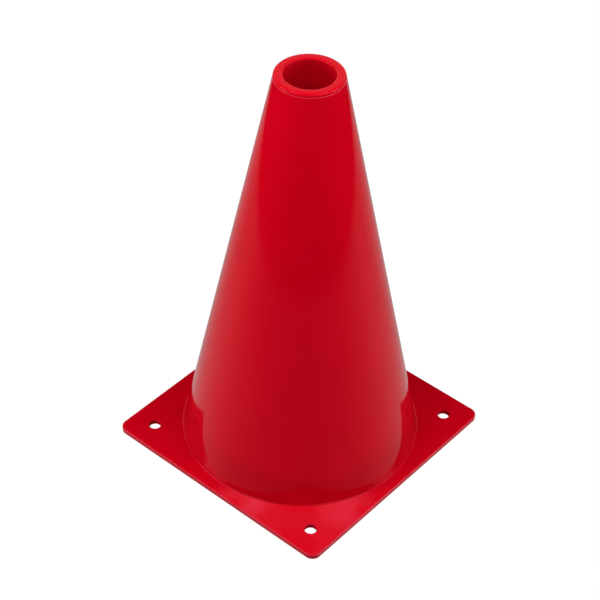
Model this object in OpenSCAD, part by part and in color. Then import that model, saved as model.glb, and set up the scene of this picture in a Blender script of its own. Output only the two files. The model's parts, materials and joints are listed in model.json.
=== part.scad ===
// Marking cone in soft plastic: a hollow conical shell on a square foot plate,
// closed at the top by a thick collar that guides a pole.
// Millimetres. +Z is up, and the origin is the middle of the plate's underside.
// X and Y run along the plate's sides.

/* [Cone] */
// Height of the whole cone, from the floor to the top face
cone_h = 230; // [190:1:280]
// Outer diameter of the shell where it leaves the plate's top
foot_d = 127; // [104:1:152]
// Outer diameter of the top face, before its edge is rounded
tip_d = 34; // [29:0.5:42]
// Thickness of the shell, square to its surface
wall_t = 1.8; // [1.4:0.1:2.2]

/* [Foot plate] */
// Thickness of the plate
plate_t = 3; // [2.4:0.1:4]
// Width of plate left between the cone's foot and the middle of each side
plate_margin = 6.5; // [5.6:0.1:12]
// Radius of the plate's corners, seen from above
plate_corner_r = 5; // [2:0.5:8]
// Rounding of the plate's upper edge
plate_edge_r = 0.5; // [0.2:0.1:1]
// Diameter of the four peg holes
peg_hole_d = 6.5; // [5:0.5:9]
// Distance from each side of the plate to the middle of the nearest peg holes
peg_hole_inset = 14; // [11:0.5:17]

/* [Foot flange] */
// How far the shell's foot flange reaches under the plate
flange_w = 3.5; // [2:0.1:4.2]
// Thickness of the foot flange, which lies flush in the plate's underside
flange_t = 1.5; // [1:0.1:1.8]

/* [Foot bead] */
// Radius of the hollow fillet that leads from the plate up to the shell
bead_r = 0.8; // [0.4:0.1:1.5]
// Width of the bead's flat crest against the shell
bead_crest_w = 0.3; // [0.2:0.1:0.6]

/* [Top collar] */
// Diameter of the pole hole
bore_d = 25; // [20:0.5:30]
// Length of the collar, from the top face to its lower end
collar_len = 19; // [12:0.5:24]
// Thickness of the collar's lip, which covers the end of the shell
lip_t = 1.8; // [1.2:0.1:2.4]
// Rounding of the top face's outer edge
lip_edge_r = 0.5; // [0.2:0.1:0.8]
// Rounding of the pole hole's upper edge
bore_edge_r = 1; // [0.4:0.1:1.2]
// Bevel at the collar's lower end, which leads the sleeve into the shell
sleeve_lead = 0.8; // [0.4:0.1:1.5]

/* [Fits] */
// Gap all round between the shell and what it seats in, or what seats in it
seat_gap = 0.1; // [0.05:0.05:0.2]

/* [Hidden] */
$fn = 96;

plate_w = foot_d + 2 * plate_margin;
peg_hole_x = plate_w / 2 - peg_hole_inset;

// The shell's outer face is one straight cone from the plate's top to the top face.
taper = (foot_d - tip_d) / 2 / (cone_h - plate_t);
wall_level = wall_t * sqrt(1 + taper * taper);
gap_level = seat_gap * sqrt(1 + taper * taper);

// The collar's straight sleeve stands in a throat, which ends level with it.
shell_top = cone_h - lip_t;
collar_low = cone_h - collar_len;
throat_r = inner_r(shell_top);
sleeve_r = throat_r - seat_gap;
bore_r = bore_d / 2;
// A bevel takes up at most half of the sleeve's thickness.
sleeve_bevel = min(sleeve_lead, (sleeve_r - bore_r) / 2);
// The shell's upper outer corner is broken, which shows as a hairline under the lip.
shell_top_break = 0.35;
// The bead's fillet stops this far above the plate, and its ring is rooted this deep in it.
bead_step = 0.05;
bead_root = 0.6;
// Extra length that carries a cutting shape clear of the face it cuts.
past = 1;

flange_r = outer_r(flange_t) + flange_w;

// Radius of the shell's outer face at height z
function outer_r(z) = tip_d / 2 + taper * (cone_h - z);

// Radius of the shell's inner face at height z
function inner_r(z) = outer_r(z) - wall_level;

module cone_shell() {
    color("crimson")
    rotate_extrude()
    polygon([
        [inner_r(0), 0],
        [flange_r, 0],
        [flange_r, flange_t],
        [outer_r(flange_t), flange_t],
        [outer_r(shell_top - shell_top_break), shell_top - shell_top_break],
        [outer_r(shell_top) - shell_top_break, shell_top],
        [throat_r, shell_top],
        [throat_r, collar_low],
        [inner_r(collar_low), collar_low]
    ]);
}

// Upright section of the plate, from its middle out to its rounded upper edge
module plate_section(reach) {
    square([reach, plate_t - plate_edge_r]);
    square([reach - plate_edge_r, plate_t]);
    translate([reach - plate_edge_r, plate_t - plate_edge_r])
    circle(r = plate_edge_r);
}

// The plate before anything is cut: its section carried along each side and round each corner
module plate_blank() {
    straight = plate_w - 2 * plate_corner_r;
    for (turn = [0:90:270])
        rotate([90, 0, turn])
        linear_extrude(straight, center = true)
        plate_section(plate_w / 2);
    for (x = [-1, 1], y = [-1, 1])
        translate([x * straight / 2, y * straight / 2])
        rotate_extrude()
        plate_section(plate_corner_r);
}

// Opening that the shell stands in, with the rebate under it for the foot flange
module shell_seat() {
    seat_top = plate_t + bead_r + past;
    rotate_extrude()
    polygon([
        [0, -past],
        [flange_r + seat_gap, -past],
        [flange_r + seat_gap, flange_t],
        [outer_r(flange_t) + gap_level, flange_t],
        [outer_r(seat_top) + gap_level, seat_top],
        [0, seat_top]
    ]);
}

// Ring on the plate that rises to the shell in a hollow fillet
module foot_bead() {
    ring_r = outer_r(plate_t + bead_r) + gap_level;
    fillet_r = ring_r + bead_crest_w + bead_r;
    rotate_extrude()
    difference() {
        translate([ring_r - bead_root, plate_t - bead_root])
        square([fillet_r - ring_r + bead_root, bead_r + bead_root]);
        translate([fillet_r, plate_t + bead_r + bead_step])
        circle(r = bead_r);
    }
}

module base_plate() {
    color("firebrick")
    difference() {
        union() {
            plate_blank();
            foot_bead();
        }
        shell_seat();
        for (x = [-1, 1], y = [-1, 1])
            translate([x * peg_hole_x, y * peg_hole_x, -past])
            cylinder(d = peg_hole_d, h = plate_t + 2 * past);
    }
}

module top_collar() {
    rim_low = cone_h - lip_edge_r;
    rim_r = outer_r(rim_low);
    color("red")
    rotate_extrude()
    difference() {
        union() {
            polygon([
                [bore_r, collar_low],
                [sleeve_r - sleeve_bevel, collar_low],
                [sleeve_r, collar_low + sleeve_bevel],
                [sleeve_r, shell_top],
                [outer_r(shell_top), shell_top],
                [rim_r, rim_low],
                [rim_r - lip_edge_r, cone_h],
                [bore_r, cone_h]
            ]);
            // Rounded outer edge of the top face
            translate([rim_r - lip_edge_r, rim_low])
            circle(r = lip_edge_r);
        }
        // Rounded mouth of the pole hole
        difference() {
            translate([bore_r - past, cone_h - bore_edge_r])
            square([past + bore_edge_r, past + bore_edge_r]);
            translate([bore_r + bore_edge_r, cone_h - bore_edge_r])
            circle(r = bore_edge_r);
        }
    }
}

cone_shell();
base_plate();
top_collar();
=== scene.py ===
"""The looks of a soft plastic marking cone, built round its CAD frame.

Run as a script, it builds the cone's three pieces and a small studio round them.
Metres, +Z up, with the origin in the middle of the foot plate's underside.
"""

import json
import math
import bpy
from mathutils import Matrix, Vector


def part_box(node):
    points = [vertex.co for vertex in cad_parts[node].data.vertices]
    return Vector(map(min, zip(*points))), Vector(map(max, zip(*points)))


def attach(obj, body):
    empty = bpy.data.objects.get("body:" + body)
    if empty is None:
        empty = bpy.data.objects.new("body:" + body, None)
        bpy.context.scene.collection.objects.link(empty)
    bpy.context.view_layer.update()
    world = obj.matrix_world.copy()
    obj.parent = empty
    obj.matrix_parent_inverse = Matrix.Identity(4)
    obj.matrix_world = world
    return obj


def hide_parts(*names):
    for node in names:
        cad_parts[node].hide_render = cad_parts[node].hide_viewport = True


bl_info = {
    "name": "Marking cone",
    "version": (1, 0, 0),
    "blender": (4, 5, 0),
    "location": "View3D > Sidebar > Marking cone",
    "description": "Builds the looks of a soft plastic marking cone round its CAD frame",
    "category": "Add Mesh",
}

from collections import namedtuple

import bmesh
import bpy
from bpy.props import FloatProperty, FloatVectorProperty, IntProperty, PointerProperty
from mathutils import Matrix, Vector

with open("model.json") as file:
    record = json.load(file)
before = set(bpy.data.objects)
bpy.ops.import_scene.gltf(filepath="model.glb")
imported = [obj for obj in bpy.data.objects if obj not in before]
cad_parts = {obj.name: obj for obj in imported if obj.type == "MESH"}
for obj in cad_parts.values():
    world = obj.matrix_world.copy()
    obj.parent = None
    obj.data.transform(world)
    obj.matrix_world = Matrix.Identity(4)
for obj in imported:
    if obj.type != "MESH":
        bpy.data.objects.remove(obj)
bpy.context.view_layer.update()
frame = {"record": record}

MM = 0.001
BODY = "root"
TINY = 1e-6
CORNER_STEPS = 16
HOLE_STEPS = 48
FILLET_STEPS = 6

mounts = {mount["name"]: mount for mount in frame["record"]["mounts"]}
shell_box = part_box("cone_shell")
plate_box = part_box("base_plate")
collar_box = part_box("top_collar")


# --- Sizes, finish and studio ---------------------------------------------------------


class ConeSizes(bpy.types.PropertyGroup):
    """Sizes of the moulding that its frame's boxes and mounts don't give."""

    foot_d: FloatProperty(
        name="Foot diameter",
        description="Outer diameter of the shell where it leaves the plate's top",
        default=127 * MM,
        unit="LENGTH",
        subtype="DISTANCE",
    )
    wall_t: FloatProperty(
        name="Wall thickness",
        description="Thickness of the shell, square to its surface",
        default=1.8 * MM,
        unit="LENGTH",
        subtype="DISTANCE",
    )
    plate_t: FloatProperty(
        name="Plate thickness",
        description="Thickness of the foot plate",
        default=3 * MM,
        unit="LENGTH",
        subtype="DISTANCE",
    )
    plate_corner_r: FloatProperty(
        name="Plate corner radius",
        description="Radius of the plate's corners, seen from above",
        default=5 * MM,
        unit="LENGTH",
        subtype="DISTANCE",
    )
    flange_t: FloatProperty(
        name="Flange thickness",
        description="Thickness of the foot flange in the plate's underside",
        default=1.5 * MM,
        unit="LENGTH",
        subtype="DISTANCE",
    )
    seat_gap: FloatProperty(
        name="Seat gap",
        description="Gap all round between the shell and what it seats in, or what seats in it",
        default=0.1 * MM,
        unit="LENGTH",
        subtype="DISTANCE",
    )
    lip_edge_r: FloatProperty(
        name="Lip rounding",
        description="Rounding of the top face's outer edge",
        default=1.0 * MM,
        unit="LENGTH",
        subtype="DISTANCE",
    )
    edge_r: FloatProperty(
        name="Edge rounding",
        description="Rounding of the plate's upper edge",
        default=0.5 * MM,
        unit="LENGTH",
        subtype="DISTANCE",
    )
    fine_edge_r: FloatProperty(
        name="Fine edge rounding",
        description="Rounding that the soft plastic has on every other edge",
        default=0.2 * MM,
        unit="LENGTH",
        subtype="DISTANCE",
    )
    lip_line_r: FloatProperty(
        name="Lip line",
        description="Rounding of the shell's upper edge, which shows as a hairline under the lip",
        default=0.35 * MM,
        unit="LENGTH",
        subtype="DISTANCE",
    )
    bore_edge_r: FloatProperty(
        name="Pole hole rounding",
        description="Rounding of the pole hole's upper edge",
        default=1 * MM,
        unit="LENGTH",
        subtype="DISTANCE",
    )
    bead_crest_w: FloatProperty(
        name="Bead crest",
        description="Width of the foot bead's flat crest against the shell",
        default=0.3 * MM,
        unit="LENGTH",
        subtype="DISTANCE",
    )
    steps: IntProperty(
        name="Steps round the axis",
        description="Faces in one turn of each round surface",
        default=256,
        min=32,
    )


class ConeFinish(bpy.types.PropertyGroup):
    """Colours and gloss of the red plastic, and the colours of its painted shade, sheen and
    highlights.
    """

    red: FloatVectorProperty(
        name="Plastic",
        description="Colour of the clean plastic",
        default=(0.5, 0.0003, 0.0085),
        size=3,
        subtype="COLOR",
        min=0,
        max=1,
    )
    deep_red: FloatVectorProperty(
        name="Deep plastic",
        description="Colour where the pigment lies thicker",
        default=(0.48, 0.0002, 0.0075),
        size=3,
        subtype="COLOR",
        min=0,
        max=1,
    )
    # Real scuffs and specks, and also the painted highlights and painted sheen on the plate's top.
    pale_red: FloatVectorProperty(
        name="Pale plastic",
        description="Colour of scuffs and specks, and of the plate's painted highlights and sheen",
        default=(0.51, 0.017, 0.034),
        size=3,
        subtype="COLOR",
        min=0,
        max=1,
    )
    # Painted highlight: a paler red laid along the shell's top edge and the plate's upper edge.
    edge_highlight_red: FloatVectorProperty(
        name="Rubbed edge",
        description="Colour of the painted highlights along the edges",
        default=(0.62, 0.04, 0.07),
        size=3,
        subtype="COLOR",
        min=0,
        max=1,
    )
    # Painted sheen: a paler red laid on the lip's top face.
    painted_sheen_red: FloatVectorProperty(
        name="Painted sheen",
        description="Colour of the painted sheen on the lip's top face",
        default=(0.52, 0.017, 0.017),
        size=3,
        subtype="COLOR",
        min=0,
        max=1,
    )
    # Painted shade: a darker red laid on near the floor, round the shell's foot and over the bead.
    painted_shade_red: FloatVectorProperty(
        name="Painted shade",
        description="Colour of the painted shade near the floor and round the shell",
        default=(0.36, 0.0002, 0.005),
        size=3,
        subtype="COLOR",
        min=0,
        max=1,
    )
    sheen_tint: FloatVectorProperty(
        name="Sheen tint",
        description="Tint of what the skin mirrors when it is seen square on",
        default=(1.0, 0.05, 0.16),
        size=3,
        subtype="COLOR",
        min=0,
        max=1,
    )
    ior: FloatProperty(
        name="Surface IOR",
        description="Index of refraction that sets how much the skin reflects",
        default=1.3,
        min=1,
    )
    gloss_low: FloatProperty(
        name="Finest roughness",
        description="Roughness of the skin in the hollows of its grain",
        default=0.02,
        subtype="FACTOR",
        min=0,
        max=1,
    )
    gloss_high: FloatProperty(
        name="Coarsest roughness",
        description="Roughness of the skin on the tops of its grain",
        default=0.07,
        subtype="FACTOR",
        min=0,
        max=1,
    )


class ConeStudio(bpy.types.PropertyGroup):
    """The camera, the lights and what the plastic mirrors."""

    azimuth: FloatProperty(
        name="Camera azimuth",
        description="Turn of the camera round the cone, from the -Y side towards +X",
        default=math.radians(40.035),
        subtype="ANGLE",
        unit="ROTATION",
    )
    elevation: FloatProperty(
        name="Camera elevation",
        description="Height of the camera above the horizon",
        default=math.radians(41.43),
        subtype="ANGLE",
        unit="ROTATION",
    )
    roll: FloatProperty(
        name="Camera roll",
        description="Tilt of the camera about its line of sight",
        default=math.radians(1.524),
        subtype="ANGLE",
        unit="ROTATION",
    )
    distance: FloatProperty(
        name="Camera distance",
        description="Distance from the camera to the point that it looks at",
        default=0.9169,
        unit="LENGTH",
        subtype="DISTANCE",
    )
    target: FloatVectorProperty(
        name="Camera target",
        description="Point that the camera looks at",
        default=(-0.0057, 0.0041, 0.084),
        size=3,
        subtype="TRANSLATION",
        unit="LENGTH",
    )
    lens: FloatProperty(
        name="Lens",
        description="Focal length in millimetres on a 36 mm sensor",
        default=105.72,
    )
    softbox_size: FloatProperty(
        name="Softbox size",
        description="Side of each square softbox",
        default=0.36,
        unit="LENGTH",
        subtype="DISTANCE",
    )
    softbox_distance: FloatProperty(
        name="Softbox distance",
        description="Distance from each softbox to the middle of the cone",
        default=0.8,
        unit="LENGTH",
        subtype="DISTANCE",
    )
    high_power: FloatProperty(
        name="High softbox power",
        description="Power of each high softbox",
        default=4.1,
        unit="POWER",
    )
    high_azimuth: FloatProperty(
        name="High softbox azimuth",
        description="Turn of each high softbox away from the camera, to its left and its right",
        default=math.radians(60),
        subtype="ANGLE",
        unit="ROTATION",
    )
    high_elevation: FloatProperty(
        name="High softbox elevation",
        description="Height of each high softbox above the horizon",
        default=math.radians(60),
        subtype="ANGLE",
        unit="ROTATION",
    )
    low_power: FloatProperty(
        name="Low softbox power",
        description="Power of each low softbox",
        default=3.45,
        unit="POWER",
    )
    low_azimuth: FloatProperty(
        name="Low softbox azimuth",
        description="Turn of each low softbox away from the camera, to its left and its right",
        default=math.radians(77),
        subtype="ANGLE",
        unit="ROTATION",
    )
    low_elevation: FloatProperty(
        name="Low softbox elevation",
        description="Height of each low softbox above the horizon",
        default=math.radians(16),
        subtype="ANGLE",
        unit="ROTATION",
    )
    left_gain: FloatProperty(
        name="Left gain",
        description="How much stronger the softboxes on the camera's left are",
        default=1.09,
        min=0,
    )
    room_light: FloatProperty(
        name="Room light",
        description="Brightness of the dim light from all sides",
        default=0.015,
        min=0,
    )
    floor_bounce: FloatProperty(
        name="Floor bounce",
        description="Share of the light that the floor throws back on the cone",
        default=0.35,
        subtype="FACTOR",
        min=0,
        max=1,
    )
    floor_light: FloatProperty(
        name="Mirrored floor",
        description="Brightness of the floor and the backdrop as the plastic mirrors them",
        default=0.7,
        min=0,
    )
    backdrop_elevation: FloatProperty(
        name="Backdrop top",
        description="Elevation at which the pale backdrop ends",
        default=math.radians(37.3),
        subtype="ANGLE",
        unit="ROTATION",
    )
    turntable_r: FloatProperty(
        name="Turntable radius",
        description="Radius of the pale floor round the cone that the plastic mirrors",
        default=0.435,
        unit="LENGTH",
        subtype="DISTANCE",
    )


# --- Mesh helpers ---------------------------------------------------------------------


def direction(azimuth, elevation):
    """Unit vector from the cone towards a place round it; azimuth 0 is the -Y side."""
    return Vector(
        (
            math.sin(azimuth) * math.cos(elevation),
            -math.cos(azimuth) * math.cos(elevation),
            math.sin(elevation),
        )
    )


def turned(outline, steps):
    """A bmesh of the closed outline, given as (radius, height) points, spun about Z."""
    bm = bmesh.new()
    points = [bm.verts.new((radius, 0, height)) for radius, height in outline]
    edges = [bm.edges.new((a, b)) for a, b in zip(points, points[1:] + points[:1])]
    bmesh.ops.spin(
        bm,
        geom=points + edges,
        axis=(0, 0, 1),
        cent=(0, 0, 0),
        angle=math.tau,
        steps=steps,
        use_merge=True,
    )
    bmesh.ops.remove_doubles(bm, verts=bm.verts, dist=TINY)
    bmesh.ops.recalc_face_normals(bm, faces=bm.faces)
    return bm


def rim_edges(bm, radius, height, centre=(0, 0)):
    """The edges of one circle round an upright axis."""

    def on_rim(vert):
        reach = math.hypot(vert.co.x - centre[0], vert.co.y - centre[1])
        return abs(reach - radius) < 5 * TINY and abs(vert.co.z - height) < 5 * TINY

    return [edge for edge in bm.edges if all(on_rim(vert) for vert in edge.verts)]


def round_edges(bm, edges, radius, segments):
    """Rounds the edges over."""
    if not edges:
        raise RuntimeError("there is no edge to round there")
    bmesh.ops.bevel(
        bm,
        geom=edges,
        offset=radius,
        offset_type="OFFSET",
        affect="EDGES",
        segments=segments,
        profile=0.5,
        material=-1,
    )


def finish_piece(bm, name, node, material):
    """Makes the bmesh an object that stands for its CAD node."""
    mesh = bpy.data.meshes.new(name)
    bm.to_mesh(mesh)
    bm.free()
    mesh.shade_smooth()
    piece = bpy.data.objects.new(name, mesh)
    bpy.context.scene.collection.objects.link(piece)
    piece.data.materials.append(material)
    normals = piece.modifiers.new("Weighted normals", "WEIGHTED_NORMAL")
    normals.keep_sharp = True
    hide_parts(node)
    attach(piece, BODY)
    return piece


# --- Materials ------------------------------------------------------------------------


def emptied(material):
    """The material's node tree, with nothing in it."""
    material.use_nodes = True
    material.node_tree.nodes.clear()
    return material.node_tree


def new_group(name, inputs, outputs):
    """An empty shader node group with its named sockets, and its two end nodes."""
    group = bpy.data.node_groups.new(name, "ShaderNodeTree")
    kinds = {"value": "NodeSocketFloat", "colour": "NodeSocketColor", "vector": "NodeSocketVector"}
    for socket, (kind, default) in inputs.items():
        made = group.interface.new_socket(socket, in_out="INPUT", socket_type=kinds[kind])
        if default is not None:
            made.default_value = default
    for socket, kind in outputs.items():
        group.interface.new_socket(socket, in_out="OUTPUT", socket_type=kinds[kind])
    return group, group.nodes.new("NodeGroupInput"), group.nodes.new("NodeGroupOutput")


def noise(tree, place, scale, detail=2.0, roughness=0.5):
    """A noise texture over a vector; the scale is in waves for each metre."""
    node = tree.nodes.new("ShaderNodeTexNoise")
    node.inputs["Scale"].default_value = scale
    node.inputs["Detail"].default_value = detail
    node.inputs["Roughness"].default_value = roughness
    tree.links.new(place, node.inputs["Vector"])
    return node.outputs["Fac"]


def spread(tree, value, low, high, start, end):
    """Maps low to high onto start to end, with smooth ends."""
    node = tree.nodes.new("ShaderNodeMapRange")
    node.interpolation_type = "SMOOTHSTEP"
    for socket, number in (
        ("From Min", low),
        ("From Max", high),
        ("To Min", start),
        ("To Max", end),
    ):
        node.inputs[socket].default_value = number
    tree.links.new(value, node.inputs["Value"])
    return node.outputs["Result"]


def combine(tree, operation, first, second):
    """A maths node over two sockets or numbers."""
    node = tree.nodes.new("ShaderNodeMath")
    node.operation = operation
    for socket, source in zip(node.inputs, (first, second)):
        if isinstance(source, (int, float)):
            socket.default_value = source
        else:
            tree.links.new(source, socket)
    return node.outputs["Value"]


def blend(tree, mask, first, second):
    """A colour mix; the mask and both colours are sockets or plain values."""
    node = tree.nodes.new("ShaderNodeMix")
    node.data_type = "RGBA"
    sockets = [item for item in node.inputs if item.enabled]
    for socket, source in zip(sockets, (mask, first, second)):
        if isinstance(source, bpy.types.NodeSocket):
            tree.links.new(source, socket)
        else:
            socket.default_value = source
    return next(item for item in node.outputs if item.enabled)


def pigment_group():
    """Cloudy drift between two strengths of the pigment, with a few pale specks."""
    group, start, end = new_group(
        "Pigment drift",
        {
            "Position": ("vector", None),
            "Clean": ("colour", None),
            "Deep": ("colour", None),
            "Speck": ("colour", None),
            "Cloud size": ("value", 40.0),
        },
        {"Colour": "colour", "Specks": "value"},
    )
    place = start.outputs["Position"]
    clouds = group.nodes.new("ShaderNodeTexNoise")
    clouds.inputs["Detail"].default_value = 4
    group.links.new(place, clouds.inputs["Vector"])
    group.links.new(start.outputs["Cloud size"], clouds.inputs["Scale"])
    drift = spread(group, clouds.outputs["Fac"], 0.3, 0.7, 0.0, 1.0)
    body = blend(group, drift, start.outputs["Clean"], start.outputs["Deep"])
    cells = group.nodes.new("ShaderNodeTexVoronoi")
    cells.inputs["Scale"].default_value = 160
    group.links.new(place, cells.inputs["Vector"])
    dots = spread(group, cells.outputs["Distance"], 0.04, 0.10, 1.0, 0.0)
    rare = spread(group, noise(group, place, 90, 0), 0.66, 0.72, 0.0, 1.0)
    specks = combine(group, "MULTIPLY", dots, rare)
    paled = blend(group, combine(group, "MULTIPLY", specks, 0.5), body, start.outputs["Speck"])
    group.links.new(paled, end.inputs["Colour"])
    group.links.new(specks, end.inputs["Specks"])
    return group


def skin_group():
    """Fine satin grain and slow unevenness of a moulded skin."""
    group, start, end = new_group(
        "Moulded skin",
        {
            "Position": ("vector", None),
            "Grain size": ("value", 1400.0),
            "Ripple size": ("value", 60.0),
            "Ripple share": ("value", 0.5),
        },
        {"Height": "value", "Grain": "value"},
    )
    place = start.outputs["Position"]
    fine = group.nodes.new("ShaderNodeTexNoise")
    fine.inputs["Detail"].default_value = 1
    group.links.new(place, fine.inputs["Vector"])
    group.links.new(start.outputs["Grain size"], fine.inputs["Scale"])
    slow = group.nodes.new("ShaderNodeTexNoise")
    slow.inputs["Detail"].default_value = 2
    group.links.new(place, slow.inputs["Vector"])
    group.links.new(start.outputs["Ripple size"], slow.inputs["Scale"])
    ripple = combine(group, "MULTIPLY", slow.outputs["Fac"], start.outputs["Ripple share"])
    height = combine(group, "ADD", fine.outputs["Fac"], ripple)
    group.links.new(height, end.inputs["Height"])
    group.links.new(fine.outputs["Fac"], end.inputs["Grain"])
    return group


def scuff_group():
    """Soft pale scuffs where the plastic is handled and stood on."""
    group, start, end = new_group(
        "Scuffs",
        {
            "Position": ("vector", None),
            "Amount": ("value", 0.5),
            "Scuff size": ("value", 55.0),
        },
        {"Scuff": "value"},
    )
    place = start.outputs["Position"]
    patches = group.nodes.new("ShaderNodeTexNoise")
    patches.inputs["Detail"].default_value = 5
    patches.inputs["Roughness"].default_value = 0.62
    patches.inputs["Distortion"].default_value = 0.6
    group.links.new(place, patches.inputs["Vector"])
    group.links.new(start.outputs["Scuff size"], patches.inputs["Scale"])
    soft = spread(group, patches.outputs["Fac"], 0.50, 0.78, 0.0, 1.0)
    streaks = group.nodes.new("ShaderNodeMapping")
    streaks.inputs["Scale"].default_value = (1.0, 0.12, 1.0)
    streaks.inputs["Rotation"].default_value = (0.0, 0.0, 0.6)
    group.links.new(place, streaks.inputs["Vector"])
    lines = spread(group, noise(group, streaks.outputs["Vector"], 900, 2), 0.62, 0.75, 0.0, 0.6)
    worn = combine(group, "MULTIPLY", combine(group, "ADD", soft, lines), start.outputs["Amount"])
    group.links.new(worn, end.inputs["Scuff"])
    return group


def painted_band_group():
    """The mask of a band at one height, stronger in some places than in others; it lays painted
    shade and painted highlights.
    """
    group, start, end = new_group(
        "Rubbed edge",
        {
            "Position": ("vector", None),
            "Height": ("value", 0.0),
            "Band": ("value", 0.0005),
        },
        {"Mark": "value"},
    )
    place = start.outputs["Position"]
    split = group.nodes.new("ShaderNodeSeparateXYZ")
    group.links.new(place, split.inputs["Vector"])
    off = combine(group, "SUBTRACT", split.outputs["Z"], start.outputs["Height"])
    share = combine(group, "DIVIDE", combine(group, "ABSOLUTE", off, 0), start.outputs["Band"])
    band = spread(group, share, 0.5, 1.0, 1.0, 0.0)
    patchy = spread(group, noise(group, place, 40, 2), 0.35, 0.65, 0.35, 1.0)
    group.links.new(combine(group, "MULTIPLY", band, patchy), end.inputs["Mark"])
    return group


def painted_patch_group():
    """The mask of a soft, mottled patch round one place; it lays painted shade, sheen and
    highlights.
    """
    group, start, end = new_group(
        "Worn patch",
        {
            "Position": ("vector", None),
            "Centre": ("vector", None),
            "Reach": ("value", 0.06),
        },
        {"Mark": "value"},
    )
    place = start.outputs["Position"]
    apart = group.nodes.new("ShaderNodeVectorMath")
    apart.operation = "DISTANCE"
    group.links.new(place, apart.inputs[0])
    group.links.new(start.outputs["Centre"], apart.inputs[1])
    share = combine(group, "DIVIDE", apart.outputs["Value"], start.outputs["Reach"])
    near = spread(group, share, 0.4, 1.0, 1.0, 0.0)
    mottle = spread(group, noise(group, place, 45, 3), 0.35, 0.65, 0.15, 1.0)
    group.links.new(combine(group, "MULTIPLY", near, mottle), end.inputs["Mark"])
    return group


def group_in(tree, group, place, **values):
    """A node group placed in a material, with its own values."""
    node = tree.nodes.new("ShaderNodeGroup")
    node.node_tree = group
    tree.links.new(place, node.inputs["Position"])
    for name, value in values.items():
        node.inputs[name.replace("_", " ")].default_value = value
    return node


def shared_group(name, maker):
    """The named node group, made when it's first asked for."""
    return bpy.data.node_groups.get(name) or maker()


# A mask group that lays painted light and shade over the plastic: the colour it brings, how much,
# and how much it dulls.
Mark = namedtuple("Mark", "group tone strength dulling values")


def red_plastic(name, finish, grain, ripple, scuffs, marks=()):
    """Soft red plastic: drifting pigment, a satin skin, a few scuffs and the given marks of painted
    light and shade.
    """
    material = bpy.data.materials.new(name)
    tree = emptied(material)
    links = tree.links
    out = tree.nodes.new("ShaderNodeOutputMaterial")
    skin = tree.nodes.new("ShaderNodeBsdfPrincipled")
    skin.inputs["IOR"].default_value = finish.ior
    skin.inputs["Specular Tint"].default_value = (*finish.sheen_tint, 1)
    links.new(skin.outputs["BSDF"], out.inputs["Surface"])
    place = tree.nodes.new("ShaderNodeTexCoord").outputs["Object"]
    pale = (*finish.pale_red, 1)

    pigment = group_in(
        tree,
        shared_group("Pigment drift", pigment_group),
        place,
        Clean=(*finish.red, 1),
        Deep=(*finish.deep_red, 1),
        Speck=pale,
    )
    worn = group_in(tree, shared_group("Scuffs", scuff_group), place, Amount=scuffs)
    colour = blend(tree, worn.outputs["Scuff"], pigment.outputs["Colour"], pale)
    dulled = combine(tree, "MULTIPLY", worn.outputs["Scuff"], 0.25)
    for mark in marks:
        mask = group_in(tree, mark.group, place, **mark.values).outputs["Mark"]
        share = combine(tree, "MULTIPLY", mask, mark.strength)
        colour = blend(tree, share, colour, (*mark.tone, 1))
        dulled = combine(tree, "ADD", dulled, combine(tree, "MULTIPLY", mask, mark.dulling))
    links.new(colour, skin.inputs["Base Color"])

    surface = group_in(tree, shared_group("Moulded skin", skin_group), place, Ripple_share=ripple)
    polish = spread(tree, surface.outputs["Grain"], 0.25, 0.75, finish.gloss_low, finish.gloss_high)
    links.new(combine(tree, "ADD", polish, dulled), skin.inputs["Roughness"])
    bump = tree.nodes.new("ShaderNodeBump")
    bump.inputs["Strength"].default_value = grain
    bump.inputs["Distance"].default_value = 0.06 * MM
    links.new(surface.outputs["Height"], bump.inputs["Height"])
    links.new(bump.outputs["Normal"], skin.inputs["Normal"])
    return material


# --- Pieces ---------------------------------------------------------------------------


def taper(sizes):
    """How much the shell's radius shrinks for each metre of height."""
    rise = shell_box[1].z - sizes.plate_t
    return (sizes.foot_d / 2 - collar_box[1].x) / rise


def outer_r(sizes, height):
    """Radius of the shell's outer face at a height."""
    return sizes.foot_d / 2 - taper(sizes) * (height - sizes.plate_t)


def inner_r(sizes, height):
    """Radius of the shell's inner face at a height."""
    return outer_r(sizes, height) - sizes.wall_t * math.hypot(1, taper(sizes))


class MARKINGCONE_OT_cone_shell(bpy.types.Operator):
    """Builds the hollow conical shell with its foot flange and its throat"""

    bl_idname = "marking_cone.cone_shell"
    bl_label = "Cone shell"

    def execute(self, context):
        sizes = context.scene.cone_sizes
        finish = context.scene.cone_finish
        top = shell_box[1].z
        throat_low = collar_box[0].z
        throat_r = inner_r(sizes, top)
        flange_r = shell_box[1].x
        flange_t = sizes.flange_t
        outline = [
            (inner_r(sizes, 0), 0),
            (flange_r, 0),
            (flange_r, flange_t),
            (outer_r(sizes, flange_t), flange_t),
            (outer_r(sizes, top), top),
            (throat_r, top),
            (throat_r, throat_low),
            (inner_r(sizes, throat_low), throat_low),
        ]
        bm = turned(outline, sizes.steps)
        fine = sizes.fine_edge_r
        for corner in (0, 1, 2, 6):
            round_edges(bm, rim_edges(bm, *outline[corner]), fine, 3)
        round_edges(bm, rim_edges(bm, *outline[4]), sizes.lip_line_r, 4)
        painted_band = shared_group("Rubbed edge", painted_band_group)
        plastic = red_plastic(
            "Cone plastic",
            finish,
            grain=0.35,
            ripple=0.3,
            scuffs=0.06,
            marks=[
                # Painted shade: the shell darker towards its foot.
                Mark(painted_band, finish.painted_shade_red, 0.55, 0.0, {"Height": 0.0, "Band": 28 * MM}),
                # Painted highlight: a paler hairline round the shell's top edge, under the lip.
                Mark(painted_band, finish.edge_highlight_red, 0.75, 0.1, {"Height": top, "Band": 0.5 * MM}),
            ],
        )
        finish_piece(bm, "shell", "cone_shell", plastic)
        return {"FINISHED"}


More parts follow.
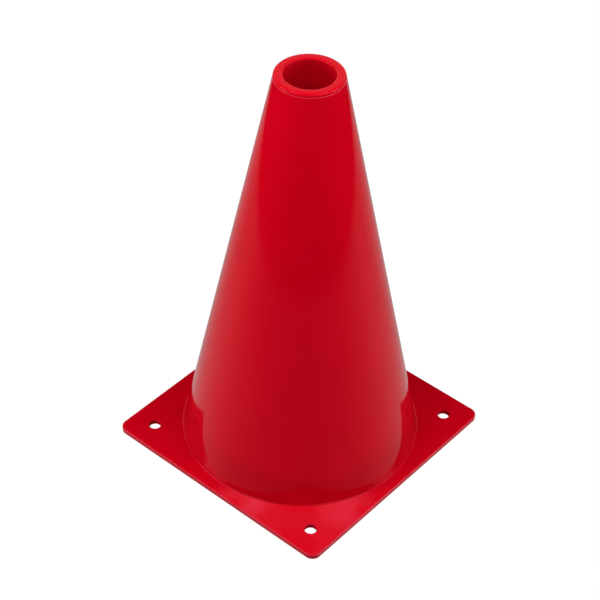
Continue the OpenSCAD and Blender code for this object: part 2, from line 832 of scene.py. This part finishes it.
def peg_holes():
    """Radius of the plate's peg holes, and their four centres."""
    dims = mounts["corner_holes"]["dims"]
    reach_x = dims["spacing_x_mm"] * MM / 2
    reach_y = dims["spacing_y_mm"] * MM / 2
    return dims["hole_r_mm"] * MM, [(x * reach_x, y * reach_y) for x in (-1, 1) for y in (-1, 1)]


def plate_top(sizes, bead_foot_r):
    """A bmesh of the plate's flat top, open inside the bead and at the peg holes."""
    half, height = plate_box[1].x, sizes.plate_t
    bm = bmesh.new()
    corners = [
        bm.verts.new((x * half, y * half, height)) for x, y in ((-1, -1), (1, -1), (1, 1), (-1, 1))
    ]
    for a, b in zip(corners, corners[1:] + corners[:1]):
        bm.edges.new((a, b))
    bmesh.ops.bevel(
        bm,
        geom=corners,
        offset=sizes.plate_corner_r,
        offset_type="OFFSET",
        affect="VERTICES",
        segments=CORNER_STEPS,
        profile=0.5,
        material=-1,
    )
    hole_r, hole_places = peg_holes()
    rings = [(bead_foot_r, (0, 0), sizes.steps)]
    rings += [(hole_r, place, HOLE_STEPS) for place in hole_places]
    for radius, (x, y), steps in rings:
        bmesh.ops.create_circle(
            bm,
            cap_ends=False,
            radius=radius,
            segments=steps,
            matrix=Matrix.Translation((x, y, height)),
        )
    bmesh.ops.triangle_fill(bm, use_beauty=True, edges=bm.edges, normal=(0, 0, 1))
    bmesh.ops.join_triangles(
        bm,
        faces=bm.faces,
        angle_face_threshold=math.radians(1),
        angle_shape_threshold=math.radians(60),
    )
    return bm


def bead_path(sizes, opening_r, bead_foot_r):
    """From the bead's foot up its hollow fillet, over the crest and down to the rebate."""
    bead_top = plate_box[1].z
    bead_r = bead_top - sizes.plate_t
    turns = [math.radians(90) * i / FILLET_STEPS for i in range(1, FILLET_STEPS + 1)]
    fillet = [
        (bead_foot_r - bead_r * math.sin(turn), bead_top - bead_r * math.cos(turn))
        for turn in turns
    ]
    gap = sizes.seat_gap * math.hypot(1, taper(sizes))
    seat_top = sizes.plate_t - sizes.edge_r
    rebate_r, rebate_t = shell_box[1].x + sizes.seat_gap, sizes.flange_t
    return fillet + [
        (opening_r, bead_top),
        (outer_r(sizes, seat_top), seat_top),
        (outer_r(sizes, seat_top) + gap, seat_top),
        (outer_r(sizes, rebate_t) + gap, rebate_t),
        (rebate_r, rebate_t),
        (rebate_r, 0),
    ]


def sweep_rim(bm, radius, height, path):
    """Extrudes the round rim at a radius and height through each point of the path."""
    rim = rim_edges(bm, radius, height)
    for next_radius, next_height in path:
        grown = bmesh.ops.extrude_edge_only(bm, edges=rim)["geom"]
        verts = [item for item in grown if isinstance(item, bmesh.types.BMVert)]
        rim = [item for item in grown if isinstance(item, bmesh.types.BMEdge)]
        share = next_radius / radius
        bmesh.ops.scale(bm, vec=(share, share, 1), verts=verts)
        bmesh.ops.translate(bm, vec=(0, 0, next_height - height), verts=verts)
        radius, height = next_radius, next_height


def close_plate(bm, plate_t):
    """Takes the outline and the hole rims straight down, and fills the underside."""
    rims = [
        edge for edge in bm.edges if edge.is_boundary and edge.verts[0].co.z > plate_t - TINY
    ]
    grown = bmesh.ops.extrude_edge_only(bm, edges=rims)["geom"]
    verts = [item for item in grown if isinstance(item, bmesh.types.BMVert)]
    bmesh.ops.translate(bm, vec=(0, 0, -plate_t), verts=verts)
    under = [edge for edge in bm.edges if edge.is_boundary]
    bmesh.ops.triangle_fill(bm, use_beauty=True, edges=under, normal=(0, 0, -1))
    bmesh.ops.remove_doubles(bm, verts=bm.verts, dist=TINY)
    bmesh.ops.recalc_face_normals(bm, faces=bm.faces)


def outline_edges(bm, sizes, height):
    """The sharp edges round the plate's outline at one height, without the hole rims."""
    straight = plate_box[1].x - sizes.plate_corner_r
    hole_r, hole_places = peg_holes()
    hole_x, hole_y = hole_places[-1]

    def on_outline(vert):
        x, y = abs(vert.co.x), abs(vert.co.y)
        clear_of_hole = math.hypot(x - hole_x, y - hole_y) > hole_r * 1.5
        return max(x, y) > straight and clear_of_hole and abs(vert.co.z - height) < TINY

    def is_sharp(edge):
        return len(edge.link_faces) == 2 and edge.calc_face_angle() > math.radians(60)

    return [edge for edge in bm.edges if all(map(on_outline, edge.verts)) and is_sharp(edge)]


def plate_marks(sizes, finish, crest_r):
    """Painted shade round the shell and over the bead, painted sheen towards the front corner, and
    painted highlights beside the shell's front and along the upper edge.
    """
    painted_band = shared_group("Rubbed edge", painted_band_group)
    painted_patch = shared_group("Worn patch", painted_patch_group)
    plate_t = sizes.plate_t
    front = math.radians(40)
    left_highlight = direction(front - math.radians(26), 0) * (crest_r + 2 * MM)
    right_highlight = direction(front + math.radians(21), 0) * (crest_r + 3 * MM)
    corner, middle = (plate_box[1].x, -plate_box[1].x, plate_t), (0, 0, plate_t)
    bead_band = {"Height": plate_box[1].z, "Band": 0.8 * MM}
    edge_band = {"Height": plate_t - 0.3 * MM, "Band": 0.3 * MM}
    return [
        # Painted shade: the plate darker round the shell.
        Mark(painted_patch, finish.painted_shade_red, 0.5, 0.0, {"Centre": middle, "Reach": 105 * MM}),
        # Painted sheen: the plate paler towards the front corner.
        Mark(painted_patch, finish.pale_red, 0.22, 0.0, {"Centre": corner, "Reach": 80 * MM}),
        # Painted highlights: pale spots on the plate beside the shell's front, to its left and its
        # right.
        Mark(painted_patch, finish.pale_red, 0.9, 0.1, {"Centre": left_highlight, "Reach": 18 * MM}),
        Mark(painted_patch, finish.pale_red, 0.6, 0.1, {"Centre": right_highlight, "Reach": 20 * MM}),
        # Painted shade: the bead's crest darker, and also rougher.
        Mark(painted_band, finish.painted_shade_red, 0.3, 0.6, bead_band),
        # Painted highlight: a paler line along the plate's upper edge.
        Mark(painted_band, finish.edge_highlight_red, 0.8, 0.1, edge_band),
    ]


class MARKINGCONE_OT_base_plate(bpy.types.Operator):
    """Builds the square foot plate with its peg holes and the bead round the shell"""

    bl_idname = "marking_cone.base_plate"
    bl_label = "Base plate"

    def execute(self, context):
        sizes = context.scene.cone_sizes
        plate_t, bead_top = sizes.plate_t, plate_box[1].z
        opening_r = outer_r(sizes, bead_top)
        crest_r = opening_r + sizes.bead_crest_w
        bead_foot_r = crest_r + (bead_top - plate_t)
        bm = plate_top(sizes, bead_foot_r)
        sweep_rim(bm, bead_foot_r, plate_t, bead_path(sizes, opening_r, bead_foot_r))
        close_plate(bm, plate_t)

        fine = sizes.fine_edge_r
        round_edges(bm, rim_edges(bm, crest_r, bead_top), fine / 2, 2)
        round_edges(bm, outline_edges(bm, sizes, plate_t), sizes.edge_r, 4)
        round_edges(bm, outline_edges(bm, sizes, 0), fine, 3)
        hole_r, hole_places = peg_holes()
        for place in hole_places:
            for height in (0, plate_t):
                round_edges(bm, rim_edges(bm, hole_r, height, place), fine, 3)
        plastic = red_plastic(
            "Plate plastic",
            context.scene.cone_finish,
            grain=0.35,
            ripple=1.0,
            scuffs=0.07,
            marks=plate_marks(sizes, context.scene.cone_finish, crest_r),
        )
        finish_piece(bm, "plate", "base_plate", plastic)
        return {"FINISHED"}


class MARKINGCONE_OT_top_collar(bpy.types.Operator):
    """Builds the collar that closes the shell's top round the pole hole"""

    bl_idname = "marking_cone.top_collar"
    bl_label = "Top collar"

    def execute(self, context):
        sizes = context.scene.cone_sizes
        finish = context.scene.cone_finish
        bore_r = mounts["pole_socket"]["dims"]["r_mm"] * MM
        low, top = collar_box[0].z, collar_box[1].z
        lip_low = shell_box[1].z
        sleeve_r = inner_r(sizes, lip_low) - sizes.seat_gap
        lead = 0.8 * MM
        seat_edge_r = 0.12 * MM
        outline = [
            (bore_r, low),
            (sleeve_r - lead, low),
            (sleeve_r, low + lead),
            (sleeve_r, lip_low),
            (outer_r(sizes, lip_low), lip_low),
            (outer_r(sizes, top), top),
            (bore_r, top),
        ]
        bm = turned(outline, sizes.steps)
        fine = sizes.fine_edge_r
        round_edges(bm, rim_edges(bm, *outline[6]), sizes.bore_edge_r, 6)
        round_edges(bm, rim_edges(bm, *outline[5]), sizes.lip_edge_r, 6)
        round_edges(bm, rim_edges(bm, *outline[4]), seat_edge_r, 2)
        round_edges(bm, rim_edges(bm, *outline[0]), fine, 3)
        painted_band = shared_group("Rubbed edge", painted_band_group)
        plastic = red_plastic(
            "Collar plastic",
            finish,
            grain=0.4,
            ripple=1.0,
            scuffs=0.1,
            # Painted sheen: the lip's top face and its rounded edge a little paler.
            marks=[Mark(painted_band, finish.painted_sheen_red, 0.12, 0.03, {"Height": top, "Band": 3.6 * MM})],
        )
        finish_piece(bm, "collar", "top_collar", plastic)
        return {"FINISHED"}


# --- Studio ---------------------------------------------------------------------------


def stage_piece(name, bm, material):
    """Makes the bmesh a stage piece."""
    mesh = bpy.data.meshes.new(name)
    bm.to_mesh(mesh)
    bm.free()
    mesh.materials.append(material)
    piece = bpy.data.objects.new(name, mesh)
    bpy.context.scene.collection.objects.link(piece)
    return piece


def add_softbox(studio, name, azimuth, elevation, power):
    """A square area light that faces the middle of the cone."""
    light = bpy.data.lights.new(name, "AREA")
    light.shape = "SQUARE"
    light.size = studio.softbox_size
    light.energy = power
    lamp = bpy.data.objects.new(name, light)
    bpy.context.scene.collection.objects.link(lamp)
    back = direction(azimuth, elevation)
    lamp.location = Vector((0, 0, 0.1)) + back * studio.softbox_distance
    lamp.rotation_mode = "QUATERNION"
    lamp.rotation_quaternion = back.to_track_quat("Z", "Y")
    return lamp


class MARKINGCONE_OT_studio(bpy.types.Operator):
    """Sets up the floor, the lights, the surroundings and the camera"""

    bl_idname = "marking_cone.studio"
    bl_label = "Studio"

    def execute(self, context):
        scene = context.scene
        studio = scene.cone_studio
        scene.view_settings.view_transform = "Standard"
        self.add_camera(scene, studio)
        self.add_world(scene)
        self.add_floor(studio)
        for row in ("high", "low"):
            turn = getattr(studio, row + "_azimuth")
            elevation = getattr(studio, row + "_elevation")
            power = getattr(studio, row + "_power")
            left, right = studio.azimuth - turn, studio.azimuth + turn
            add_softbox(studio, row + "_left", left, elevation, power * studio.left_gain)
            add_softbox(studio, row + "_right", right, elevation, power)
        return {"FINISHED"}

    def add_camera(self, scene, studio):
        camera = bpy.data.cameras.new("camera")
        camera.lens = studio.lens
        camera.sensor_width = 36
        camera.clip_start = 0.01
        eye = bpy.data.objects.new("camera", camera)
        scene.collection.objects.link(eye)
        back = direction(studio.azimuth, studio.elevation)
        eye.location = Vector(studio.target) + back * studio.distance
        eye.rotation_mode = "QUATERNION"
        aim = back.to_track_quat("Z", "Y")
        turn = Matrix.Rotation(studio.roll, 4, "Z").to_quaternion()
        eye.rotation_quaternion = aim @ turn
        scene.camera = eye

    def add_world(self, scene):
        """White to the camera; to the plastic, a pale backdrop below a dark room."""
        studio = scene.cone_studio
        world = bpy.data.worlds.new("studio")
        world.use_nodes = True
        tree = world.node_tree
        tree.nodes.clear()
        links = tree.links
        out = tree.nodes.new("ShaderNodeOutputWorld")
        white = tree.nodes.new("ShaderNodeBackground")
        room = tree.nodes.new("ShaderNodeBackground")
        room.inputs["Color"].default_value = (*[studio.room_light] * 3, 1)
        mirrored = tree.nodes.new("ShaderNodeBackground")
        ways = tree.nodes.new("ShaderNodeTexCoord")
        split = tree.nodes.new("ShaderNodeSeparateXYZ")
        links.new(ways.outputs["Generated"], split.inputs["Vector"])
        top, softness, dark = math.sin(studio.backdrop_elevation), 0.04, 0.02
        low, high = top - softness, top + softness
        edge = spread(tree, split.outputs["Z"], low, high, studio.floor_light, dark)
        links.new(edge, mirrored.inputs["Color"])
        path = tree.nodes.new("ShaderNodeLightPath")
        glossy = tree.nodes.new("ShaderNodeMixShader")
        links.new(path.outputs["Is Glossy Ray"], glossy.inputs["Fac"])
        links.new(room.outputs["Background"], glossy.inputs[1])
        links.new(mirrored.outputs["Background"], glossy.inputs[2])
        seen = tree.nodes.new("ShaderNodeMixShader")
        links.new(path.outputs["Is Camera Ray"], seen.inputs["Fac"])
        links.new(glossy.outputs["Shader"], seen.inputs[1])
        links.new(white.outputs["Background"], seen.inputs[2])
        links.new(seen.outputs["Shader"], out.inputs["Surface"])
        scene.world = world

    def floor_paint(self, studio):
        """White to the camera; grey to diffuse light, and dimmer behind in the plastic."""
        material = bpy.data.materials.new("Floor")
        tree = emptied(material)
        links = tree.links
        out = tree.nodes.new("ShaderNodeOutputMaterial")
        paint = tree.nodes.new("ShaderNodeBsdfDiffuse")
        paint.inputs["Color"].default_value = (*[studio.floor_bounce] * 3, 1)
        white = tree.nodes.new("ShaderNodeEmission")
        white.inputs["Strength"].default_value = 1.03
        mirrored = tree.nodes.new("ShaderNodeEmission")
        path = tree.nodes.new("ShaderNodeLightPath")
        glossy = tree.nodes.new("ShaderNodeMixShader")
        links.new(path.outputs["Is Glossy Ray"], glossy.inputs["Fac"])
        links.new(paint.outputs["BSDF"], glossy.inputs[1])
        links.new(mirrored.outputs["Emission"], glossy.inputs[2])
        seen = tree.nodes.new("ShaderNodeMixShader")
        whiteness = combine(tree, "MULTIPLY", path.outputs["Is Camera Ray"], 0.97)
        links.new(whiteness, seen.inputs["Fac"])
        links.new(glossy.outputs["Shader"], seen.inputs[1])
        links.new(white.outputs["Emission"], seen.inputs[2])
        ahead = tree.nodes.new("ShaderNodeVectorMath")
        ahead.operation = "DOT_PRODUCT"
        ahead.inputs[1].default_value = direction(studio.azimuth, 0)
        place = tree.nodes.new("ShaderNodeTexCoord").outputs["Object"]
        links.new(place, ahead.inputs[0])
        light, back_share = studio.floor_light, 0.6
        fall = spread(tree, ahead.outputs["Value"], -0.10, 0.04, light * back_share, light)
        links.new(fall, mirrored.inputs["Strength"])
        links.new(seen.outputs["Shader"], out.inputs["Surface"])
        return material

    def dark_card(self):
        """A material that hardly reflects."""
        material = bpy.data.materials.new("Dark card")
        tree = emptied(material)
        out = tree.nodes.new("ShaderNodeOutputMaterial")
        felt = tree.nodes.new("ShaderNodeBsdfDiffuse")
        felt.inputs["Color"].default_value = (0.01, 0.01, 0.01, 1)
        tree.links.new(felt.outputs["BSDF"], out.inputs["Surface"])
        return material

    def add_sheet(self, name, size, height, material):
        """A flat square stage piece; its size is half a side."""
        bm = bmesh.new()
        place = Matrix.Translation((0, 0, height))
        bmesh.ops.create_grid(bm, x_segments=1, y_segments=1, size=size, matrix=place)
        return stage_piece(name, bm, material)

    def add_floor(self, studio):
        """A pale floor, and dark cards that only its mirror image in the plastic shows."""
        reach = 6.0
        near, low, high = studio.turntable_r, 0.5 * MM, 0.6 * MM
        self.add_sheet("floor", reach, -0.02 * MM, self.floor_paint(studio))
        card = self.dark_card()
        under = plate_box[1].x - 1 * MM
        shade = self.add_sheet("shade_under_plate", under, -0.01 * MM, card)
        ring = turned([(near, low), (reach, low), (reach, high), (near, high)], 96)
        surround = stage_piece("dark_surround", ring, card)
        for piece in (shade, surround):
            piece.visible_camera = False
            piece.visible_diffuse = False
            piece.visible_shadow = False


# --- Panel and registration -----------------------------------------------------------


class MARKINGCONE_PT_panel(bpy.types.Panel):
    """The cone's sizes, finish and studio, and a button for each piece"""

    bl_label = "Marking cone"
    bl_idname = "MARKINGCONE_PT_panel"
    bl_space_type = "VIEW_3D"
    bl_region_type = "UI"
    bl_category = "Marking cone"

    def draw(self, context):
        layout = self.layout
        for label, group in (
            ("Sizes", context.scene.cone_sizes),
            ("Finish", context.scene.cone_finish),
            ("Studio", context.scene.cone_studio),
        ):
            box = layout.box()
            box.label(text=label)
            for name in group.__annotations__:
                box.prop(group, name)
        for operator in OPERATORS:
            layout.operator(operator.bl_idname)


GROUPS = {
    "cone_sizes": ConeSizes,
    "cone_finish": ConeFinish,
    "cone_studio": ConeStudio,
}
OPERATORS = (
    MARKINGCONE_OT_cone_shell,
    MARKINGCONE_OT_base_plate,
    MARKINGCONE_OT_top_collar,
    MARKINGCONE_OT_studio,
)
CLASSES = (*GROUPS.values(), *OPERATORS, MARKINGCONE_PT_panel)


def register():
    for cls in CLASSES:
        bpy.utils.register_class(cls)
    for name, group in GROUPS.items():
        setattr(bpy.types.Scene, name, PointerProperty(type=group))


def unregister():
    for name in GROUPS:
        delattr(bpy.types.Scene, name)
    for cls in reversed(CLASSES):
        bpy.utils.unregister_class(cls)


def main():
    register()
    bpy.ops.marking_cone.cone_shell()
    bpy.ops.marking_cone.base_plate()
    bpy.ops.marking_cone.top_collar()
    bpy.ops.marking_cone.studio()


if __name__ == "__main__":
    main()
